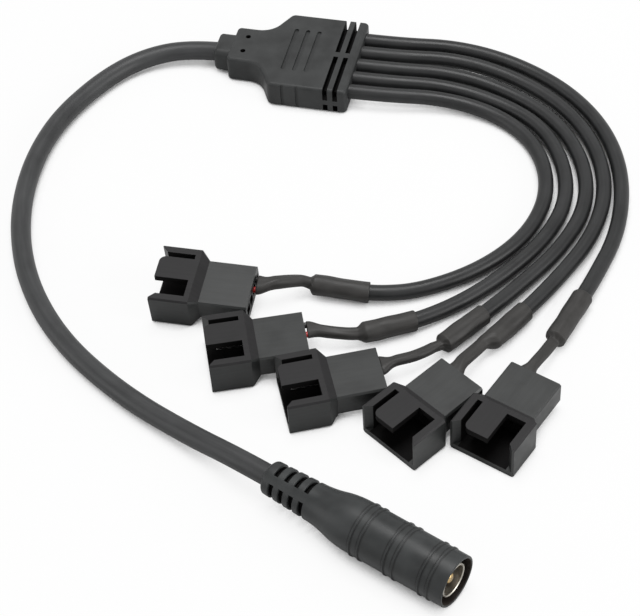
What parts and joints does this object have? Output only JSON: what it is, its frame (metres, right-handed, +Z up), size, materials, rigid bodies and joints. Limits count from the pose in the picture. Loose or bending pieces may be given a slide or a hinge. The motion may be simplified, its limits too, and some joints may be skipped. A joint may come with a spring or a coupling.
{
  "type": "fan splitter cable",
  "caption": "Fan splitter cable: a barrel DC socket and a round feed cable lead to a flat moulded hub, whose branch cables end in keyed fan plug housings with crimped pins.",
  "frame": {"origin": "middle of the splitter hub's flat base, on the table", "axes": "+X along the hub from the feed cable to the branch cables, +Z up out of the table, +Y across the hub"},
  "size_m": [0.132, 0.153, 0.0108],
  "materials": {
    "moulded_pvc": "matt moulded black",
    "cable_jacket": "soft matt black",
    "heat_shrink": "satin black",
    "nylon_black": "fine matt black",
    "core_red": "satin red",
    "core_black": "satin black",
    "nickel_plate": "bright",
    "brass_pin": "bright",
    "tin_plate": "dull bright"
  },
  "bodies": {
    "root": {"splitter_hub": "moulded_pvc", "jack_overmould": "moulded_pvc", "jack_insulator": "nylon_black", "jack_sleeve_contact": "nickel_plate", "jack_centre_pin": "brass_pin", "main_cable": "cable_jacket", "branch_cable_1": "cable_jacket", "heatshrink_sleeve_1": "heat_shrink", "wire_red_1": "core_red", "wire_black_1": "core_black", "fan_housing_1": "nylon_black", "pin_power_1": "tin_plate", "pin_ground_1": "tin_plate", "branch_cable_2": "cable_jacket", "heatshrink_sleeve_2": "heat_shrink", "wire_red_2": "core_red", "wire_black_2": "core_black", "fan_housing_2": "nylon_black", "pin_power_2": "tin_plate", "pin_ground_2": "tin_plate", "branch_cable_3": "cable_jacket", "heatshrink_sleeve_3": "heat_shrink", "wire_red_3": "core_red", "wire_black_3": "core_black", "fan_housing_3": "nylon_black", "pin_power_3": "tin_plate", "pin_ground_3": "tin_plate", "branch_cable_4": "cable_jacket", "heatshrink_sleeve_4": "heat_shrink", "wire_red_4": "core_red", "wire_black_4": "core_black", "fan_housing_4": "nylon_black", "pin_power_4": "tin_plate", "pin_ground_4": "tin_plate", "branch_cable_5": "cable_jacket", "heatshrink_sleeve_5": "heat_shrink", "wire_red_5": "core_red", "wire_black_5": "core_black", "fan_housing_5": "nylon_black", "pin_power_5": "tin_plate", "pin_ground_5": "tin_plate"}
  },
  "joints": []
}
